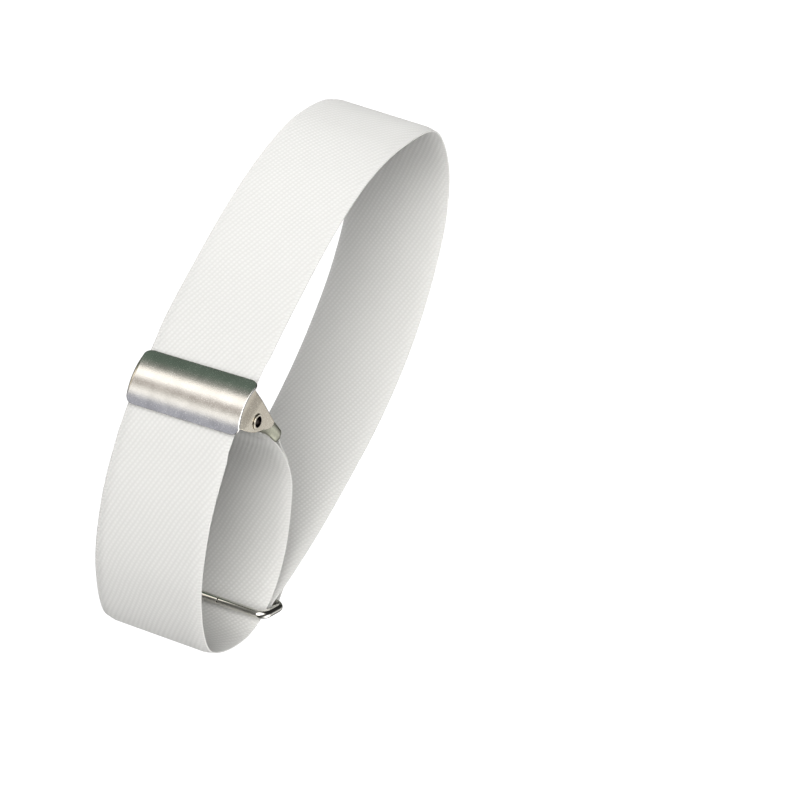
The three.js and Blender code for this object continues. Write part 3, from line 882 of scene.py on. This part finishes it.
def tube(path, sides, radius, columns=24, ease=0.12):
    """Circles along a path: point = path + r (cos a x side 1 + sin a x side 2), r smaller at its ends."""
    along = lengths(path)
    from_end = np.clip(np.minimum(along, along[-1] - along) / ease, 0, 1)
    here = radius * (1 - END_CHAMFER * (1 - np.sqrt(1 - (1 - from_end) ** 2)))
    angle = np.arange(columns) * TURN / columns
    ring = np.cos(angle)[:, None] * sides[0][:, None] + np.sin(angle)[:, None] * sides[1][:, None]
    points = path[:, None] + here[:, None, None] * ring
    return points, quads(len(path), columns).tolist() + tube_caps(len(path), columns)


def end_bar(rings=24, inset=0.2):
    """A round bar from arm to arm."""
    height = STRAP_WIDTH / 2 + eased(rings, -1, 1) * (STRAP_WIDTH / 2 - inset)
    path = np.concatenate([np.tile(LEVER_BAR, (rings, 1)), height[:, None]], 1)
    sides = [np.tile(axis, (rings, 1)) for axis in np.eye(3)[:2]]
    return tube(path, sides, BAR_RADIUS)


arm_level = ARM["thick"] / 2 - ARM["proud"]
arms = [lever_arm(STRAP_WIDTH - arm_level), lever_arm(arm_level)]
teeth = [tooth(index) for index in range(TOOTH["count"])]
lever_parts = [*arms, lever_web(), *teeth, end_bar()]
piece("toothed_lever", lever_parts, ["grip_lever"], olive)

# %% [markdown]
# Two hollow rivets hold the lever. A hollow rivet is a short tube whose ends are rolled outwards, and the
# dark hole through it is what shows most. A profile turned round the rivet's axis makes it.

# %% The rivets
RIVET = {"shank": 1.3, "flange": 1.6, "inner": 23.9, "outer": 25.95, "lip": 0.2, "round": 0.09}


def hollow_rivet(outwards, rays=48):
    """A rounded profile (radius, height) turned round the pivot's axis, and a map of its radius."""
    low, high, lip = RIVET["inner"], RIVET["outer"], RIVET["lip"]
    shank, flange = RIVET["shank"], RIVET["flange"]
    corners = [(BORE, low), (BORE, high), (flange, high), (flange, high - lip), (shank, high - lip)]
    corners += [(shank, low + lip), (flange, low + lip), (flange, low)]
    profile = rounded(corners, RIVET["round"])
    angle = np.linspace(0, TURN, rays, endpoint=False)[:, None]
    radius, height = profile.T[:, None]
    height = height if outwards > 0 else STRAP_WIDTH - height
    points = [PIVOT[0] + radius * np.cos(angle), PIVOT[1] + radius * np.sin(angle), height + 0 * angle]
    corner_radius = np.stack([profile[:, 0], np.roll(profile[:, 0], -1)], -1)[:, [0, 1, 1, 0]]
    radius_map = np.broadcast_to(corner_radius, (rays, *corner_radius.shape)).reshape(-1, 1)
    faces = quads(rays, len(profile), wrap_rows=True).tolist()
    return (np.stack(points, -1), faces), radius_map * np.array([1.0, 0.0])


for name, node, outwards in (("upper_eyelet", "rivet_upper", 1), ("lower_eyelet", "rivet_lower", -1)):
    rivet, radius_map = hollow_rivet(outwards)
    # The radius map lets the finish paint the bore near black, as painted shade inside the hole.
    piece(name, [rivet], [node], bore_shaded_nickel, radius_map)

# %% [markdown]
# The ring is one length of round wire, bent into a rectangle that stands across the strap. Its two ends
# meet in a butt joint on the side that the strap slides over. The wire is a circle carried along that
# rectangle, whose corners are quarter circles, and it starts and ends at the joint.

# %% The wire ring


def wire_ring(bend_steps=14, rings=300):
    """The path in the ring's own plane, as (out, up), then turned to stand across the strap."""
    out_reach, up_reach, bend = RING["half_across"], RING["half_height"], RING["corner"]
    joint = RING["joint"] - STRAP_WIDTH / 2
    turn = np.linspace(0, math.pi / 2, bend_steps)
    path = [np.array([[-out_reach, joint + RING["gap"] / 2]])]
    for quarter, (out_sign, up_sign) in enumerate(((-1, 1), (1, 1), (1, -1), (-1, -1))):
        centre = np.array([out_sign * (out_reach - bend), up_sign * (up_reach - bend)])
        angle = math.pi - quarter * math.pi / 2 - turn
        path.append(centre + bend * np.stack([np.cos(angle), np.sin(angle)], -1))
    path.append(np.array([[-out_reach, joint - RING["gap"] / 2]]))
    corners = np.concatenate(path)
    flat = at_length(corners, eased(rings, 0, lengths(corners)[-1]))
    left = left_of(flat)
    out = np.array([*OUT, 0])
    middle = np.array([*(LOOSE_BAR + SEWN_BAR) / 2, STRAP_WIDTH / 2])
    centre = middle + flat[:, :1] * out + flat[:, 1:] * UP
    sides = [left[:, :1] * out + left[:, 1:] * UP, np.tile(np.cross(out, UP), (rings, 1))]
    return tube(centre, sides, WIRE, columns=32, ease=RING["chamfer"])


piece("bent_wire_ring", [wire_ring()], ["wire_ring"], bright)

# %% [markdown]
# Each sewn end is held by two rows of lockstitch across the strap. A stitch is a short thread that comes
# up through the cloth, lies on it and goes down again, so it is a low arc, and the same arc is repeated
# along the row, on the tail's face and on the strap's other face.

# %% The stitches
STITCH = {"rows": (6.6, 8.8), "length": 2.3, "pitch": 2.9, "radius": 0.14, "slant": 0.12, "to_each_side": 3}
THREAD = {"sunk": 0.23, "rise": 0.13, "fullness": 0.6, "points": 9, "columns": 8, "ease": 0.3}


def stitch(spot, outwards, level):
    """One arc of thread: height = rise x sine ** fullness, over a slightly slanting line up the strap."""
    t = np.linspace(0, 1, THREAD["points"])[:, None]
    rise = THREAD["rise"] * np.sin(t * math.pi) ** THREAD["fullness"] - THREAD["sunk"]
    forwards = np.array([-outwards[1], outwards[0], 0.0])
    plan = spot + outwards * rise
    path = np.concatenate([plan, level + STITCH["length"] * (t - 0.5)], 1)
    path = path + STITCH["slant"] * (t - 0.5) * forwards
    sides = [np.tile(side, (len(t), 1)) for side in ([*outwards, 0.0], forwards)]
    return tube(path, sides, STITCH["radius"], THREAD["columns"], THREAD["ease"])


def stitch_rows():
    """Rows of stitches on both faces of each sewn end."""
    parts = []
    tail_face = THICK["strap"] / 2 + THICK["sewn"] - TAIL["sunk"]
    reach = STITCH["to_each_side"]
    levels = STRAP_WIDTH / 2 + STITCH["pitch"] * np.arange(-reach, reach + 1)
    for where in (*STITCH["rows"], *(ROUTE_LENGTH - row for row in STITCH["rows"])):
        x, y, left_x, left_y = at_length(GUIDE, [where])[0]
        for cloth, sign in ((tail_face, TAIL_SIDE), (THICK["strap"] / 2, -TAIL_SIDE)):
            outwards = sign * np.array([left_x, left_y])
            parts += [stitch(np.array([x, y]) + outwards * cloth, outwards, level) for level in levels]
    return parts


piece("sewn_stitches", stitch_rows(), [], elastic)

# %% [markdown]
# The camera stands where the photograph's stood, found by fitting one camera to the strap's edges. The
# picture is turned well over to one side, so its right is mostly the band's up. A camera looks along its
# own -Z with +Y up, so its three axes are the picture's right, the picture's up and straight back.

# %% The camera
EYE = np.array([176.908, -387.107, 231.923])
PICTURE_RIGHT = np.array([-0.42101, 0.23417, 0.87631])
PICTURE_DOWN = np.array([0.82079, 0.50957, 0.25817])
FOCAL_SHARE = 2288.8 / 800  # focal length over the picture's width
CLIP = (0.02, 20.0)


def add_camera():
    """A camera at the photograph's place, with its axes tipped as the holder is."""
    data = bpy.data.cameras.new("camera")
    data.lens = FOCAL_SHARE * data.sensor_width
    data.clip_start, data.clip_end = CLIP
    made = bpy.data.objects.new("camera", data)
    right = unit(TIP @ PICTURE_RIGHT)
    up = unit(-TIP @ PICTURE_DOWN)
    back = np.cross(right, up)
    axes = Matrix(np.stack([right, up, back], 1).tolist()).to_4x4()
    made.matrix_world = Matrix.Translation(Vector(place(EYE).tolist())) @ axes
    bpy.context.scene.collection.objects.link(made)
    bpy.context.scene.camera = made
    return made


camera = add_camera()
print("camera at, in m:", [round(value, 3) for value in camera.matrix_world.translation])

# %% [markdown]
# The light is a plain studio without lamps, whose reflections would be too hard for satin metal: soft
# patches of sky light the front, and a high one lights the back. Metal shows what is round it, so the
# surroundings are not even. Below the horizon they go from dark green grey through a bright strip to
# lilac, as a workshop with one long window would.

# %% Surroundings
BELOW = [  # what polished metal sees below the horizon: heading from -180 to 180 degrees, and colour
    (-175, (0.12, 0.14, 0.12)),
    (-128, (0.13, 0.18, 0.14)),
    (-111, (0.3, 0.3, 0.27)),
    (-102, (1.6, 1.52, 1.4)),
    (-89, (1.75, 1.7, 1.6)),
    (-79, (0.6, 0.54, 0.5)),
    (-68, (0.62, 0.58, 0.53)),
    (-60, (1.32, 1.28, 1.2)),
    (-52, (1.28, 1.25, 1.2)),
    (-44, (0.46, 0.47, 0.53)),
    (-12, (0.5, 0.51, 0.57)),
    (30, (0.3, 0.3, 0.29)),
    (150, (0.15, 0.15, 0.14)),
]

SKY_TINT = (1.0, 0.99, 0.97)
SKY_FILL = 0.03
LIGHTS = [  # soft patches of sky: heading and elevation in degrees, sharpness and strength
    (-60, 18, 20, 5.2),
    (-60, 3, 20, 4.8),
    (-90, 36, 20, 4.0),
    (-100, 18, 20, 2.2),
    (60, 20, 2, 0.1),
    (70, 50, 14, 5.0),
    (115, 24, 50, 0.85),
]


def patch(direction, heading, elevation, sharpness, strength):
    """strength x max(0, direction . centre) ** sharpness, brightest at its centre and soft all round."""
    a, e = math.radians(heading), math.radians(elevation)
    centre = (math.cos(a) * math.cos(e), math.sin(a) * math.cos(e), math.sin(e))
    near = sum(direction.part(i) * centre[i] for i in range(3))
    return near.math("MAXIMUM", 0.0) ** sharpness * strength


HORIZON = 0.04  # half the height of the soft step at the horizon


def surroundings():
    """A world of soft patches above the horizon, and below it a colour that depends on the heading."""
    world = bpy.data.worlds.new("studio")
    world.use_nodes = True
    bpy.context.scene.world = world
    background = world.node_tree.nodes["Background"]
    start = Value(world.node_tree, background.outputs[0])
    direction = start.node("TexCoord")
    heading = direction.part(1).math("ARCTAN2", direction.part(0)) / TURN + 0.5
    stops = [(0.5 + degrees / 360, shade) for degrees, shade in BELOW]
    below = heading.node("ValToRGB", {"stops": stops}, {0: heading})
    brightness = sum(patch(direction, *light) for light in LIGHTS) + SKY_FILL
    above = start.node("VectorMath", {"operation": "SCALE"}, {0: SKY_TINT, "Scale": brightness})
    shade = direction.part(2).blend_from(-HORIZON, HORIZON).choose(below, above)
    world.node_tree.links.new(shade.socket, background.inputs["Color"])
    background.inputs["Strength"].default_value = 1.0


surroundings()
bpy.context.scene.view_settings.view_transform = "Standard"
print("patches of sky:", len(LIGHTS), "and colours below the horizon:", len(BELOW))

# %% [markdown]
# The floor is a wide pale plane that looks white and sends a little light up. Inside the loop it is in
# shade, so it glows less there. It doesn't show in gloss, so the buckle mirrors the surroundings instead.

# %% Floor
FLOOR_SIZE = 8.0
FLOOR_GREY = 0.06
GLOW = {"seen": 1.1, "beyond_arch": 1.0, "in_front": 0.35, "fade": (-0.07, 0.05)}
LOOP = {"reach": (0.06, 0.0275), "edge": (0.7, 1.1), "shade": 0.2}  # the ellipse inside the loop


def pale_floor():
    """A wide plane, white to the camera, that glows most beyond the arch and least inside the loop."""
    mesh = bpy.data.meshes.new("floor")
    half = FLOOR_SIZE / 2
    corners = [(-half, -half, 0), (half, -half, 0), (half, half, 0), (-half, half, 0)]
    mesh.from_pydata(corners, [], [(0, 1, 2, 3)])
    made = bpy.data.objects.new("floor", mesh)
    bpy.context.scene.collection.objects.link(made)
    grey = colour(FLOOR_GREY, FLOOR_GREY, FLOOR_GREY)
    constants = {"Base Color": grey, "Roughness": 1.0, "Specular IOR Level": 0.0, "Emission Strength": 1.0}
    material, start, feed = new_finish("floor_white", constants)
    seen = start.node("LightPath", output=0)
    where = start.node("TexCoord", output="Object")
    along, across = (where.part(i) / reach for i, reach in enumerate(LOOP["reach"]))
    in_loop = 1.0 - (along * along + across * across).blend_from(*LOOP["edge"])
    levels = (GLOW["beyond_arch"], GLOW["in_front"], GLOW["seen"])
    strong, weak, white = (colour(level, level, level) for level in levels)
    glow = where.part(0).blend_from(*GLOW["fade"]).choose(strong, weak)
    kept = 1.0 - in_loop * (1 - LOOP["shade"])
    glow = glow.node("VectorMath", {"operation": "SCALE"}, {0: glow, "Scale": kept})
    feed("Emission Color", seen.choose(glow, white))
    mesh.materials.append(material)
    made.visible_glossy = False


pale_floor()
